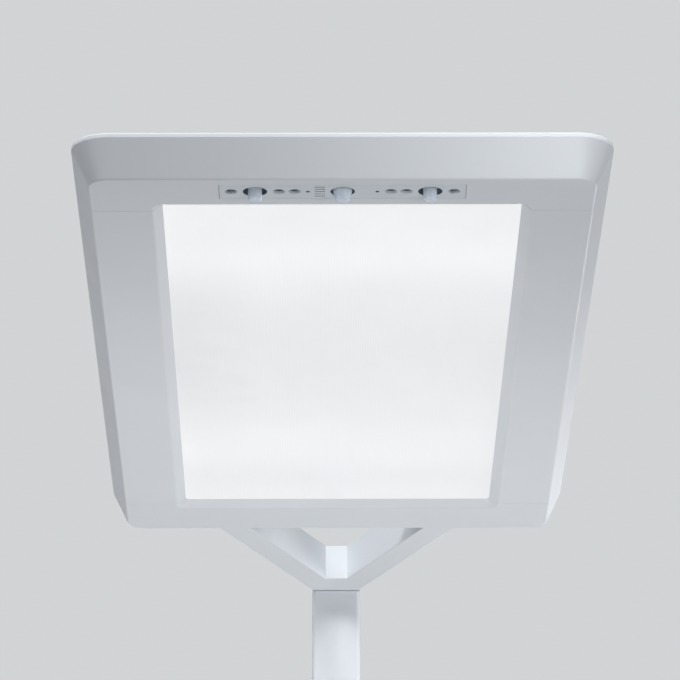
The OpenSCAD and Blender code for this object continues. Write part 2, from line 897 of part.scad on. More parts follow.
module sensor_board() {
  plug_z = board_z + signal_d + 2 * lead_gap;
  color("darkgreen") at_strip() difference() {
    union() {
      translate([0, 0, sensor_z + board_t / 2])
        cube([strip_l - 2, strip_w - 1, board_t], center = true);
      block(plug_x - plug_w / 2, plug_x + plug_w / 2, -plug_l / 2, plug_l / 2,
        sensor_z + board_t / 2, plug_z);
    }
    both_sides() for (y = [-boss_y, boss_y])
      translate([boss_x, y, sensor_z - 1]) cylinder(h = board_t + 2, r = board_screw_r + screw_gap);
  }
}

module board_screws() {
  color("silver") at_strip() both_sides() for (y = [-boss_y, boss_y])
    translate([boss_x, y, sensor_z + board_t])
      pan_screw(board_screw_r - screw_gap / 2, board_screw_l, 2 * board_screw_r, 1.2);
}

// Hollow lens that hangs from the board, straight in the strip and then down to its round tip
module presence_lens(x, tip_d, top_d) {
  r = tip_d / 2;
  top_r = top_d / 2;
  tip = -lens_drop;
  color("aliceblue") at_strip() translate([x, 0, 0]) difference() {
    union() {
      rotate_extrude() {
        translate([0, tip]) square([r - tip_r, lens_drop]);
        polygon([[0, tip + tip_r], [r, tip + tip_r], [top_r, 0], [top_r, sensor_z], [0, sensor_z]]);
        intersection() {
          translate([r - tip_r, tip + tip_r]) circle(tip_r);
          translate([0, tip]) square([r, 2 * tip_r]);
        }
      }
      translate([0, 0, sensor_z - lens_flange_h])
        cylinder(h = lens_flange_h, r = top_r + lens_flange);
    }
    translate([0, 0, tip + lens_floor])
      cylinder(h = lens_drop - lens_floor, r1 = r - lens_t, r2 = top_r - lens_t);
    translate([0, 0, -e]) cylinder(h = sensor_z + 1, r = top_r - lens_t);
  }
}

module presence_lens_left() {
  presence_lens(-presence_x, lens_d, lens_d);
}

module presence_lens_middle() {
  presence_lens(0, mid_lens_d, mid_lens_top_d);
}

module presence_lens_right() {
  presence_lens(presence_x, lens_d, lens_d);
}

// Cans with a slim core that reaches down into the lenses
module presence_sensors() {
  core_low = lens_floor + core_gap - lens_drop;
  color("dimgray") at_strip() for (x = [-presence_x, 0, presence_x]) translate([x, 0, 0]) {
    translate([0, 0, core_low]) cylinder(h = sensor_z - core_low, d = core_d);
    translate([0, 0, sensor_z - can_h]) cylinder(h = can_h, d = lens_d * 0.7);
    translate([0, 0, sensor_z - can_rim_h])
      cylinder(h = can_rim_h, d = lens_d - 2 * lens_t - 2 * lay_gap);
  }
}

// Light sensors in their cups: the outermost pair stands down to the underside
module light_sensors() {
  color("gray") at_strip() both_sides() for (i = [0 : len(eye_x) - 1]) {
    low = i == len(eye_x) - 1 ? 0 : eye_low;
    translate([eye_x[i], 0, low]) {
      cylinder(h = sensor_z - low, d = eye_d);
      sphere(d = eye_d);
      translate([0, 0, sensor_z - low - 1]) cylinder(h = 1, d = eye_bore - 2 * lay_gap);
    }
  }
}

module status_lights() {
  color("palegreen") at_strip() both_sides()
    translate([status_x, 0, 0]) cylinder(h = sensor_z, d = status_d);
}

// ---- pole and base ----

module wall_cut(z, h, w) {
  translate([0, -wall_y, z]) cube([w, 4 * pole_t, h], center = true);
}

module foot_screw_places() {
  for (z = [foot_h / 3, foot_h * 3 / 4])
    translate([0, wall_y, pole_z + z]) rotate([-90, 0, 0]) children();
}

module wall_screw_hole() {
  flat_hole(wall_screw_r, 2 * pole_t, wall_screw_r * 2, pole_t, screw_gap);
}

module pole() {
  color("whitesmoke") difference() {
    translate([0, 0, pole_z]) linear_extrude(pole_l) difference() {
      round_plan(pole_w, pole_d, pole_r);
      square([pole_in_w, pole_in_d], center = true);
    }
    wall_cut(panel_z, panel_h, panel_w);
    translate([0, wall_y, gland_z]) rotate([90, 0, 0])
      cylinder(h = 4 * pole_t, r = shank_r + screw_gap, center = true);
    foot_screw_places() wall_screw_hole();
    neck_screw_places() wall_screw_hole();
  }
}

module foot_screws() {
  color("silver") foot_screw_places()
    flat_screw(wall_screw_r, wall_screw_l, wall_screw_r * 2, pole_t);
}

module pole_foot() {
  color("silver") difference() {
    translate([0, 0, pole_z + foot_h / 2])
      cube([pole_in_w - 2 * lay_gap, pole_in_d - 2 * lay_gap, foot_h], center = true);
    for (y = [-bolt_y, bolt_y]) translate([0, y, pole_z - 1])
      cylinder(h = bolt_l - base_t + 4, r = bolt_r + screw_gap);
    foot_screw_places() translate([0, 0, -wall_screw_l - 2])
      cylinder(h = wall_screw_l + 2, r = wall_screw_r + screw_gap);
  }
}

module at_bolts() {
  for (y = [-bolt_y, bolt_y]) translate([0, y, pad_t]) rotate([180, 0, 0]) children();
}

module foot_bolts() {
  color("dimgray") at_bolts() flat_screw(bolt_r, bolt_l, bolt_head_r, bolt_r + 1);
}

module base_plate() {
  mid_y = base_back - base_l / 2;
  color("gainsboro") difference() {
    translate([0, mid_y, pad_t]) {
      round_plate(base_w, base_l, base_r, base_t - base_chamfer);
      translate([0, 0, base_t - base_chamfer])
        flare(base_w, base_l, base_r, -base_chamfer, base_chamfer);
    }
    at_bolts() flat_hole(bolt_r, base_t + 1, bolt_head_r, bolt_r + 1, 2 * screw_gap);
  }
}

module base_pad() {
  color("dimgray") translate([0, base_back - base_l / 2, 0])
    round_plate(base_w - 2 * pad_inset, base_l - 2 * pad_inset, base_r - pad_inset, pad_t);
}

// ---- cable gland and mains terminal ----

module at_gland() {
  translate([0, wall_y, gland_z]) rotate([-90, 0, 0]) children();
}

module gland_body() {
  color("lightgray") at_gland() difference() {
    union() {
      cylinder(h = gland_hex_h, r = shank_r + gland_hex, $fn = 6);
      cylinder(h = gland_out, r = shank_r - 1);
      translate([0, 0, -shank_l]) cylinder(h = shank_l + e, r = shank_r);
    }
    translate([0, 0, 1]) cylinder(h = gland_out, d = gland_bore);
    translate([0, 0, -shank_l - 1]) cylinder(h = shank_l + 2, d = gland_bore + 2);
  }
}

module gland_cap() {
  color("lightgray") at_gland() translate([0, 0, gland_hex_h + lay_gap]) difference() {
    union() {
      cylinder(h = cap_h, r = shank_r + cap_wall + 0.4, $fn = 12);
      translate([0, 0, cap_h - e])
        cylinder(h = cap_cone_h, r1 = shank_r + cap_wall, r2 = gland_bore / 2 + cap_wall);
    }
    translate([0, 0, -1]) cylinder(h = gland_out - 4 + lay_gap, r = shank_r - 1 + screw_gap);
    cylinder(h = 20, d = gland_bore + 2);
  }
}

module gland_nut() {
  color("lightgray") at_gland() translate([0, 0, -pole_t - nut_t]) difference() {
    cylinder(h = nut_t, r = shank_r + gland_hex, $fn = 6);
    translate([0, 0, -1]) cylinder(h = nut_t + 2, r = shank_r + screw_gap);
  }
}

module mains_terminal() {
  color("white") translate([0, -pole_in_d / 4, terminal_z]) {
    translate([0, -pole_in_d / 8, 0]) cube([terminal_w, pole_in_d / 4, terminal_h], center = true);
    for (i = [-1 : 1], z = [-terminal_h / 4, terminal_h / 4])
      translate([i * terminal_pitch, 0, z]) rotate([-90, 0, 0])
        cylinder(h = 1.5, r = terminal_screw_r);
  }
}

// ---- driver and leads ----

driver_y = pole_in_d / 2 - driver_d / 2 - driver_gap;
lead_y = driver_y - driver_d / 2 - lead_off;
driver_top = driver_z + driver_l;

module driver() {
  color("white") translate([0, driver_y, driver_z]) {
    linear_extrude(driver_l) round_plan(driver_w, driver_d, 2);
    for (z = [-stub_h, driver_l - e])
      translate([-driver_w / 4, -driver_d / 4, z])
        cube([driver_w / 2, driver_d / 2, stub_h + e]);
  }
}

module driver_clips() {
  color("silver") for (z = [0.15, 0.85])
    translate([0, 0, driver_z + z * driver_l]) difference() {
      cube([pole_in_w - 2 * lay_gap, pole_in_d - 2 * lay_gap, clip_h], center = true);
      translate([0, driver_y, 0]) linear_extrude(2 * clip_h, center = true)
        round_plan(driver_w + 2 * screw_gap, driver_d + 2 * screw_gap, 2);
      translate([0, lead_y, 0]) cylinder(h = 2 * clip_h, r = clip_bore_r, center = true);
    }
}

module supply_lead() {
  start = terminal_z + terminal_h / 2;
  color("dimgray") lead([
    [0, -pole_in_d * 3 / 8, start], [0, -pole_in_d * 3 / 8, start + lead_out],
    [0, lead_y, start + lead_cross], [0, lead_y, driver_z - lead_cross],
    [0, driver_y, driver_z - lead_out], [0, driver_y, driver_z - stub_h]
  ], output_d);
}

lead_x = lead_bore_r / 2;
arm_lead_z = head_z + (channel_z + seat_z) / 2;

// The stretch of a lead through the neck and an arm, on the side where x is positive
function fork_route(d) = [
  [lead_x, 0, head_z + channel_z + d / 4],
  [lead_x, face_y * 0.4, arm_lead_z],
  [lead_x * 1.6, face_y - lead_off, arm_lead_z],
  [arm_mid(neck_reach - crotch_back - lead_off), face_y - crotch_back - lead_off, arm_lead_z],
  [arm_mid(0), face_y - neck_reach, arm_lead_z]
];

module output_lead() {
  end_y = head_y + terminal_y + head_terminal_l / 2;
  end_z = head_z + floor_t + 0.6 * head_terminal_h;
  color("dimgray") mirror([1, 0, 0]) lead(concat(
    [[0, driver_y, driver_top + stub_h], [0, driver_y, driver_top + lead_out],
      [lead_x, 0, driver_top + lead_out + lead_cross]],
    fork_route(output_d),
    [[arm_mid(0), end_y + lead_off, end_z], [arm_mid(0), end_y, end_z]]
  ), output_d);
}

module signal_lead() {
  run_x = opening_w / 2 - lead_off;
  run_z = head_z + board_z + signal_d / 2 + lead_gap;
  end_y = head_y + strip_mid + plug_l / 2;
  board_d = face_y + key_board_d + board_t;
  color("dimgray") lead(concat(
    [[0, board_d + 0.75 * signal_d, panel_z + post_z / 2],
      [0, board_d + 2 * signal_d, panel_z + post_z / 2 + lead_out],
      [lead_x, 0, panel_z + panel_h]],
    fork_route(signal_d),
    [[arm_mid(0), head_y + open_y1, run_z], [run_x, head_y + open_y1 - back_margin, run_z],
      [run_x, head_y + open_y0 + front_margin, run_z], [plug_x, end_y + 2 * lead_off, run_z],
      [plug_x, end_y, run_z]]
  ), signal_d);
}

// ---- controls ----

// Depths in the panel run inwards from the pole's front face
module at_panel() {
  translate([0, face_y, panel_z]) rotate([-90, 0, 0]) children();
}

module control_panel() {
  color("dimgray") at_panel() difference() {
    union() {
      translate([0, 0, pole_t / 2])
        cube([panel_w - 2 * lay_gap, panel_h - 2 * lay_gap, pole_t], center = true);
      translate([0, 0, pole_t + flange_t / 2])
        cube([pole_in_w - 2 * lay_gap - 2, panel_h + 2 * post_r, flange_t], center = true);
      for (z = [-post_z, post_z])
        translate([0, z, pole_t]) cylinder(h = key_board_d - pole_t, r = post_r);
    }
    for (z = [-key_pitch, 0, key_pitch])
      translate([0, z, -1]) cylinder(h = 10, d = key_d + 2 * key_gap);
    for (z = [-post_z, post_z])
      translate([0, z, key_board_d + board_t - panel_screw_l - lay_gap])
        cylinder(h = panel_screw_l, r = panel_screw_r);
  }
}

module key(z) {
  color("white") at_panel() translate([0, -z, 0]) {
    translate([0, 0, -key_proud]) cylinder(h = flange_d + key_proud + e, d = key_d);
    translate([0, 0, flange_d]) cylinder(h = key_flange_t, r = key_flange_r);
    translate([0, 0, flange_d + key_flange_t - e])
      cylinder(h = switch_d - flange_d - key_flange_t + 0.5, r = stem_r);
  }
}

module key_power() {
  key(0);
}

module key_brighter() {
  key(key_pitch);
}

module key_dimmer() {
  key(-key_pitch);
}

module key_switches() {
  color("dimgray") at_panel() for (z = [-key_pitch, 0, key_pitch])
    translate([0, z, switch_d]) difference() {
      translate([0, 0, switch_h / 2]) cube([switch_w, switch_w, switch_h], center = true);
      translate([0, 0, -1]) cylinder(h = key_travel + 1.9, r = stem_r + key_gap);
    }
}

module key_board() {
  color("darkgreen") at_panel() difference() {
    translate([0, 0, key_board_d + board_t / 2])
      cube([panel_w - 2, panel_h - 4, board_t], center = true);
    for (z = [-post_z, post_z])
      translate([0, z, key_board_d - 1]) cylinder(h = board_t + 2, r = panel_screw_r + screw_gap);
  }
}

module panel_screws() {
  color("silver") at_panel() for (z = [-post_z, post_z])
    translate([0, z, key_board_d + board_t])
      pan_screw(panel_screw_r - screw_gap / 2, panel_screw_l, 2 * panel_screw_r, 1.3);
}

base_pad();
base_plate();
pole_foot();
foot_bolts();
foot_screws();
pole();
gland_body();
gland_cap();
gland_nut();
mains_terminal();
supply_lead();
driver();
driver_clips();
output_lead();
signal_lead();
control_panel();
key_power();
key_brighter();
key_dimmer();
key_switches();
key_board();
panel_screws();
rear_frame();
neck_screws();
fork_cover();
fork_cover_screws();
front_frame();
side_rail_left();
side_rail_right();
rail_screws();
diffuser();
light_guide();
led_strip_left();
led_strip_right();
reflector_sheet();
carrier_plate();
carrier_screws();
uplight_boards();
head_terminal();
top_cover();
top_window();
cover_screws();
sensor_strip();
sensor_board();
board_screws();
presence_lens_left();
presence_lens_middle();
presence_lens_right();
presence_sensors();
light_sensors();
status_lights();
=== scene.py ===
"""Office floor lamp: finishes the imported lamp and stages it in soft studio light."""
import math

import bmesh
import bpy
from mathutils import Matrix, Vector


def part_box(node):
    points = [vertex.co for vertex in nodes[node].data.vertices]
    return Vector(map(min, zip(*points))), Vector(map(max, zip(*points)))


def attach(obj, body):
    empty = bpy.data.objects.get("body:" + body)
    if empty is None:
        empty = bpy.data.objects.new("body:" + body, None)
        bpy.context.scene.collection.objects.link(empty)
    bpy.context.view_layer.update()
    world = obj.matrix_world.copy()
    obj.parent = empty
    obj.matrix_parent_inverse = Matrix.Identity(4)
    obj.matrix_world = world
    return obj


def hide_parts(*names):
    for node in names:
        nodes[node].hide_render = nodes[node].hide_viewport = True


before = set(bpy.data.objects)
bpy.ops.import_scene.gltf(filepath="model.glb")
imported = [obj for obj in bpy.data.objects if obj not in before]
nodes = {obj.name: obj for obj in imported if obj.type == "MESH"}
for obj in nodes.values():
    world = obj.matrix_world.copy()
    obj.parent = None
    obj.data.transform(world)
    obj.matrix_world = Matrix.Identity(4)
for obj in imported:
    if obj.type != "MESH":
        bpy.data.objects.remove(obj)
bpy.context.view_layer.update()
MM = 0.001

# ---- levels and places of the lamp, taken from its own solids ----

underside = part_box("side_rail_right")[0].z
rim_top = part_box("side_rail_right")[1].z
rail_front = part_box("side_rail_right")[0].y
rail_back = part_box("side_rail_right")[1].y
strip_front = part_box("sensor_strip")[0].y
presence_x = sum(corner.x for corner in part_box("presence_lens_right")) / 2
pole_low, pole_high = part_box("pole")
open_low, open_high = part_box("diffuser")

# ---- roundings, gaps and limits ----

MERGE = 0.001 * MM     # points nearer than this are one point
FLAT = 0.5             # faces that meet at fewer degrees are one flat face
IN_PLANE = 0.02 * MM   # an edge this near a plane lies in it
UPRIGHT = 0.1          # the z of an upright face's normal is smaller than this
DOWNWARD = -0.2        # the z of a face's normal that looks down is below this
SIDEWAYS = 0.85        # the x of a face's normal that looks to the side is above this
ALONG = 0.9            # a direction that follows an axis has more than this along it

ROUND = 0.9 * MM       # rounding of the castings' lower edges
RIM_ROUND = 1.1 * MM   # rounding of the rim's upper edge
RIM_H = 2.8 * MM       # height of the upright rim above the sloping skirt
SEAM_ROUND = 0.2 * MM  # rounding where two castings meet
COVER_ROUND = 0.2 * MM
LID_ROUND = 0.3 * MM   # rounding of the fork's cover
STRIP_ROUND = 0.2 * MM
POLE_ROUND = 0.15 * MM
PLATE_ROUND = 0.5 * MM
GLAND_ROUND = 0.25 * MM
PANEL_ROUND = 0.35 * MM
KEY_ROUND = 0.7 * MM

NECK_GAP = 0.35 * MM   # open seam between the pole and the fork's neck
LID_GAP = 1.2 * MM     # more than the wall round the fork's cover
SLOT_REACH = 70 * MM   # more than half the width of the sensor strip's slot
SLOT_MARGIN = 1 * MM   # from the strip's front to what counts as its slot
OUTLINE = 0.3 * MM     # an edge this near a panel's side is on its outline
CAP_TOP = 0.1 * MM     # a point this near the top of the gland's cap is on its widest part

# ---- signs on the keys ----

MARK_T = 0.3 * MM       # thickness
MARK_OUT = 0.4          # a sign's middle stands off its key by this share of the thickness
MARK_W = 0.9 * MM       # width of the lines
MARK_L = 5.2 * MM       # length of the plus and the minus
MARK_LIFT = 0.01 * MM   # the plus's upright stands this much higher, so no faces share a plane
MARK_END = 0.49         # rounding of a bar's ends, as a share of its width
MARK_EDGE = 0.3         # rounding of a bar's face, as a share of its thickness
RING_R = 2.2 * MM
RING_GAP = 70           # opening at the ring's top, in degrees
RING_STEPS = 28
BAR_L = 1.1 * RING_R    # length of the power sign's bar
BAR_Z = 0.85 * RING_R   # height of the bar's middle above the ring's

# ---- colours and light of the finishes ----

# Name: colour, roughness, size and depth of its grain in mm, how much its tone changes, size
# of those changes in mm, and how strongly it shines
GRAINED = {
    "satin white paint": ((0.735, 0.765, 0.80), 0.48, 1.1, 0.012, 0.012, 80, 0.4),
    "textured white paint": ((0.72, 0.735, 0.75), 0.58, 0.9, 0.05, 0.02, 120, 0.4),
    "panel plastic": ((0.045, 0.048, 0.052), 0.5, 0.5, 0.02, 0.08, 20, 0.5),
    "key plastic": ((0.66, 0.68, 0.70), 0.42, 0.5, 0.01, 0.03, 10, 0.5),
    "mark ink": ((0.05, 0.055, 0.06), 0.5, 0.3, 0.004, 0.1, 4, 0.5),
    "grey polyamide": ((0.40, 0.41, 0.42), 0.5, 0.6, 0.02, 0.05, 10, 0.5),
    "white polycarbonate": ((0.80, 0.80, 0.78), 0.4, 0.6, 0.01, 0.03, 30, 0.5),
    "lead sheath": ((0.035, 0.035, 0.038), 0.5, 0.8, 0.03, 0.1, 20, 0.5),
    "pad rubber": ((0.05, 0.05, 0.053), 0.75, 0.8, 0.06, 0.12, 30, 0.5),
    "reflector film": ((0.88, 0.88, 0.88), 0.6, 0.5, 0.005, 0.02, 50, 0.5),
    "circuit board": ((0.02, 0.11, 0.05), 0.4, 0.7, 0.02, 0.15, 8, 0.5),
    "sensor resin": ((0.30, 0.31, 0.33), 0.15, 0.5, 0.004, 0.1, 3, 0.5),
    "light pipe": ((0.02, 0.024, 0.028), 0.4, 0.5, 0.004, 0.1, 3, 0.2),
}
GLOSS_CHANGE = 0.05  # how far a grained finish's roughness goes up and down
GLOSS_SHARE = 0.6    # size of those changes, as a share of the changes of tone

# Name: colour, roughness, and the axis that its lines follow
DRAWN = {
    "zinc plated steel": ((0.60, 0.61, 0.63), 0.32, "Z"),
    "bare aluminium": ((0.78, 0.78, 0.79), 0.35, "Y"),
    "sensor can": ((0.50, 0.50, 0.52), 0.3, "Z"),
}
LINE_SIZE = 0.4 * MM
LINE_STRETCH = 0.03  # scale along the lines, to draw them out
LINE_TONES = (0.88, 1.08)
LINE_GLOSS = 0.07
FINE_BUMP = 0.01 * MM

# Place along the lit panel, 0 at its front end and 1 at its back end, and its glow there
PANEL_GLOW = [(0.0, 0.505), (0.06, 0.485), (0.13, 0.485), (0.18, 0.495), (0.24, 0.45),
              (0.30, 0.41), (0.42, 0.365), (0.54, 0.342), (0.68, 0.358), (0.75, 0.383),
              (0.82, 0.385), (0.90, 0.35), (0.96, 0.37), (1.0, 0.375)]
PANEL_LIGHT = (0.985, 0.985, 1.0)
PANEL_CHANGE = 0.012    # how far its glow goes up and down from place to place
LEFT_LOSS = 0.085       # how much less it glows at its left side, between its bands
LEFT_FADE = 0.4         # that loss ends at this share of the way to the side
LOSS_START = (0.1, 0.3)  # along the panel: where the loss begins and is full
LOSS_END = (0.55, 0.8)   # along the panel: where it is still full and where it ends
PRISM_PITCH = 1.5 * MM
PRISM_DEPTH = 0.1 * MM
PRISM_STRENGTH = 0.6
WAVE_UNIT = math.pi / 10  # length of a wave texture's wave at scale 1, in metres

STRIP_GREY = (0.68, 0.727, 0.772)
# Painted shade: the dark colour laid into the wells and into the depth of the cups, where
# their depth shades them
PAINTED_HOLLOW_SHADE = (0.15, 0.17, 0.19)
WELL_REACH = 7 * MM               # more than a well's radius
WELL_PAINTED_SHADE_DEPTHS = (0.05 * MM, 0.5 * MM)  # depth in a well where its shade begins and is full
CUP_PAINTED_SHADE_DEPTHS = (1.3 * MM, 1.8 * MM)  # the same in a cup

LENS_WHITE = (0.88, 0.92, 0.985)
# Painted light: the lenses are made lighter inside their wells and glow faintly, for the
# panel's light that they carry up
LENS_PAINTED_WELL_LIGHT = (0.95, 0.96, 0.98)
LENS_FADE = 1 * MM                # from the underside to where either tone is full
LENS_PAINTED_GLOW_COLOUR = (0.60, 0.80, 1.0)    # the panel's light that the lenses carry
LENS_PAINTED_GLOW = 0.035
LENS_SCATTER = (4 * MM, 4 * MM, 5 * MM)

PACKAGE_YELLOW = (0.85, 0.72, 0.25)
PACKAGE_LIGHT = (1.0, 0.94, 0.80)
PACKAGE_GLOW = 0.6
PACKAGE_T = 0.3 * MM              # how deep the boards' light packages are coloured
ACRYLIC_IOR = 1.49

# Finish of each solid that is right as it is
SOLIDS = {
    "pad rubber": ["base_pad"],
    "bare aluminium": ["pole_foot", "carrier_plate"],
    "zinc plated steel": ["foot_bolts", "foot_screws", "driver_clips", "panel_screws",
                          "neck_screws", "fork_cover_screws", "rail_screws",
                          "carrier_screws", "cover_screws", "board_screws"],
    "white polycarbonate": ["mains_terminal", "driver", "head_terminal"],
    "lead sheath": ["supply_lead", "output_lead", "signal_lead"],
    "panel plastic": ["key_switches"],
    "circuit board": ["key_board", "sensor_board"],
    "prismatic acrylic": ["diffuser"],
    "clear acrylic": ["light_guide"],
    "frosted acrylic": ["top_window"],
    "reflector film": ["reflector_sheet"],
    "white board x": ["led_strip_left", "led_strip_right"],
    "white board z": ["uplight_boards"],
    "milky lens plastic": ["presence_lens_left", "presence_lens_middle",
                           "presence_lens_right"],
    "sensor can": ["presence_sensors"],
    "sensor resin": ["light_sensors"],
    "light pipe": ["status_lights"],
}

# ---- studio and camera ----

FLOOR_SIZE = 60
FLOOR_CLOUD = 1.5                # size of the floor's slow changes of tone
FLOOR_CHANGE = 1.03
FLOOR_LIGHT = (0.60, 0.615, 0.625)  # what the floor adds by itself where it is looked at
FLOOR_TONE = (0.34, 0.35, 0.355)    # its colour where it is looked at, which holds the shadow
FLOOR_BOUNCE = (0.30, 0.30, 0.30)   # its colour for the light that it throws back
BACKDROP = (0.64, 0.655, 0.665)
ROOM_TINT = (0.80, 0.88, 1.0)
ROOM_LIGHT = 0.15
HEAD = (0, -0.48, 1.94)
FORK = (0, 0, 1.72)
# Name, place, what it faces, width, height, watts
SOFTBOXES = [
    ("key", (0.0, -3.25, 4.63), HEAD, 1.2, 1.2, 57.7),
    ("key left", (-1.3, -2.9, 4.6), HEAD, 1.0, 1.0, 60),
    ("left steep", (-1.2, -0.6, 3.6), HEAD, 0.8, 0.8, 10),
    ("right steep", (1.4, -0.5, 3.8), HEAD, 0.8, 0.8, 13),
    ("front close", (0.17, -1.02, 1.89), HEAD, 0.12, 0.12, 0.27),
    ("right", (2.6, -0.5, 2.1), HEAD, 1.5, 1.5, 8.5),
    ("right close", (0.45, -0.05, 1.85), HEAD, 0.2, 0.2, 0.95),
    ("left rear low", (-1.0, 1.0, 0.6), HEAD, 1.0, 1.0, 3.6),
    ("left low", (-0.6, -0.5, 1.1), HEAD, 0.4, 0.4, 1.05),
    ("rear", (0.0, 2.4, 2.6), HEAD, 1.2, 1.2, 18),
    ("below", (0.02, -0.72, 1.2), HEAD, 0.3, 0.3, 0.70),
    ("fork front", (0.0, -0.42, 1.3), FORK, 0.25, 0.25, 1.68),
]

CAMERA_AT = (-0.01874, -3.1993, 0.96248)
CAMERA_TURN = (0.35203, -0.0070035, -0.0040294)  # pitch, yaw and roll, in radians
CAMERA_LENS = 250.34                             # mm, for the sensor's width
CAMERA_SENSOR = 36
CAMERA_NEAR = 0.05


# ---- hand tools ----

def deselect():
    for thing in list(bpy.context.selected_objects):
        thing.select_set(False)


def work_on(piece):
    deselect()
    piece.select_set(True)
    bpy.context.view_layer.objects.active = piece


def edit(piece, mode="EDGE"):
    """Opens a piece's mesh, with nothing in it selected."""
    work_on(piece)
    bpy.ops.object.mode_set(mode="EDIT")
    bpy.ops.mesh.select_mode(type=mode)
    bpy.ops.mesh.select_all(action="DESELECT")
    return bmesh.from_edit_mesh(piece.data)


def done():
    """Closes the mesh that is open."""
    bpy.ops.object.mode_set(mode="OBJECT")


def casting_of(source, name):
    """A merged copy of a solid, with its flat faces whole, for edges to be rounded on."""
    piece = bpy.data.objects.new(name, nodes[source].data.copy())
    bpy.context.scene.collection.objects.link(piece)
    work_on(piece)
    bpy.ops.object.mode_set(mode="EDIT")
    bpy.ops.mesh.select_all(action="SELECT")
    bpy.ops.mesh.remove_doubles(threshold=MERGE)
    bpy.ops.mesh.dissolve_limited(angle_limit=math.radians(FLAT))
    done()
    return piece


def round_edges(piece, wanted, width, steps, sharper=40):
    """Rounds the outward edges sharper than that many degrees that wanted(edge) picks."""
    mesh = edit(piece)
    limit = math.radians(sharper)
    chosen = [edge for edge in mesh.edges if len(edge.link_faces) == 2
              and edge.calc_face_angle_signed() > limit and wanted(edge)]
    for edge in chosen:
        edge.select_set(True)
    bmesh.update_edit_mesh(piece.data)
    if chosen:
        bpy.ops.mesh.bevel(offset=width, segments=steps, profile=0.5, affect="EDGES",
                           clamp_overlap=False)
    done()


def crease(piece, wanted):
    """Keeps the edges that wanted(edge) picks crisp when the piece is shaded smooth."""
    mesh = edit(piece)
    for edge in mesh.edges:
        if wanted(edge):
            edge.select_set(True)
    bmesh.update_edit_mesh(piece.data)
    bpy.ops.mesh.mark_sharp()
    done()


def smooth(piece, angle=35):
    """Smooth over the rounded edges, flat on the flat faces."""
    work_on(piece)
    bpy.ops.object.shade_smooth_by_angle(angle=math.radians(angle))
    weigh = piece.modifiers.new("flat faces stay flat", "WEIGHTED_NORMAL")
    weigh.keep_sharp = True
    bpy.ops.object.modifier_apply(modifier=weigh.name)


def settle(piece, body, slot, finish, *replaced):
    """Gives a piece its finish and body, and hides the solids that it stands for. Its slot is
    not used.
    """
    piece.data.materials.clear()
    piece.data.materials.append(look[finish])
    if replaced:
        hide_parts(*replaced)
    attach(piece, body)


def softened(source, name, slot, finish, wanted, width, steps, sharper=40, angle=35,
             body="lamp"):
    """A copy in a solid's place, with the edges that wanted(edge) picks rounded."""
    piece = casting_of(source, name)
    round_edges(piece, wanted, width, steps, sharper)
    smooth(piece, angle)
    settle(piece, body, slot, finish, source)


# ---- which edges ----

def middle_of(edge):
    return (edge.verts[0].co + edge.verts[1].co) / 2


def at_level(level):
    """Picks edges that lie in one level plane."""
    return lambda edge: all(abs(v.co.z - level) < IN_PLANE for v in edge.verts)


def at_depth(depth):
    """Picks edges that lie in one plane across the lamp's length."""
    return lambda edge: all(abs(v.co.y - depth) < IN_PLANE for v in edge.verts)


def off_slot(edge):
    """Not round the slot for the sensor strip."""
    middle = middle_of(edge)
    return not (abs(middle.x) < SLOT_REACH
                and strip_front - SLOT_MARGIN < middle.y < rail_front)


def faces_out(edge):
    """On the head's outline, not round the recess for its top cover."""
    middle = middle_of(edge)
    centre = Vector((0, (rail_front + rail_back) / 2, middle.z))
    return any(abs(f.normal.z) < UPRIGHT and f.normal.dot(middle - centre) > 0
               for f in edge.link_faces)


def in_lid(edge):
    """Over the fork, where the wall round its cover is too thin for a rounding."""
    low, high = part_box("fork_cover")
    middle = middle_of(edge)
    return abs(middle.x) < high.x + LID_GAP and low.y - LID_GAP < middle.y < high.y + LID_GAP


def on_skin(edge):
    """Beside a face of the head that looks down or to the side."""
    return any(f.normal.z < DOWNWARD or abs(f.normal.x) > SIDEWAYS for f in edge.link_faces)


def on_side(piece_low, piece_high):
    """Picks edges on the outline of a panel, not round its holes."""
    def wanted(edge):
        middle = middle_of(edge)
        return min(middle.x - piece_low.x, piece_high.x - middle.x,
                   middle.y - piece_low.y, piece_high.y - middle.y) < OUTLINE
    return wanted


# ---- shader nodes ----

def new_finish(name):
    finish = bpy.data.materials.new(name)
    finish.use_nodes = True
    tree = finish.node_tree
    return finish, tree, tree.nodes["Principled BSDF"]


def fill(tree, part, values):
    """Gives inputs of a node, by name or number, a number, a colour or another's output."""
    for key, value in values.items():
        socket = part.inputs[key]
        if isinstance(value, bpy.types.NodeSocket):
            tree.links.new(value, socket)
        elif socket.type == "RGBA":
            socket.default_value = (*value, 1)
        else:
            socket.default_value = value


def node(tree, kind, values, **settings):
    """A new node with its settings and the values of its inputs."""
    made = tree.nodes.new("ShaderNode" + kind)
    for key, value in settings.items():
        setattr(made, key, value)
    fill(tree, made, values)
    return made


def place(tree, scale=(1, 1, 1)):
    """Object coordinates, scaled."""
    where = node(tree, "TexCoord", {}).outputs["Object"]
    return node(tree, "Mapping", {"Vector": where, "Scale": scale}).outputs["Vector"]


def axes_of(tree, where):
    """A place's X, Y and Z."""
    return node(tree, "SeparateXYZ", {"Vector": where}).outputs


def noise(tree, where, size, detail=2.0):
    """Noise whose lumps are about that many metres across."""
    lumps = node(tree, "TexNoise", {"Vector": where, "Scale": 1 / size, "Detail": detail})
    return lumps.outputs["Fac"]


def ramp(tree, fac, low, high, start=0.3, end=0.7):
    """Colours from low to high as fac goes from start to end."""
    step = node(tree, "ValToRGB", {"Fac": fac})
    for stop, position, colour in zip(step.color_ramp.elements, (start, end), (low, high)):
        stop.position = position
        stop.color = (*colour, 1)
    return step.outputs["Color"]


def levels(tree, fac, low, high, start=0.3, end=0.7):
    """A number from low to high as fac goes from start to end."""
    span = node(tree, "MapRange", {"Value": fac, "From Min": start, "From Max": end,
                                   "To Min": low, "To Max": high})
    return span.outputs["Result"]


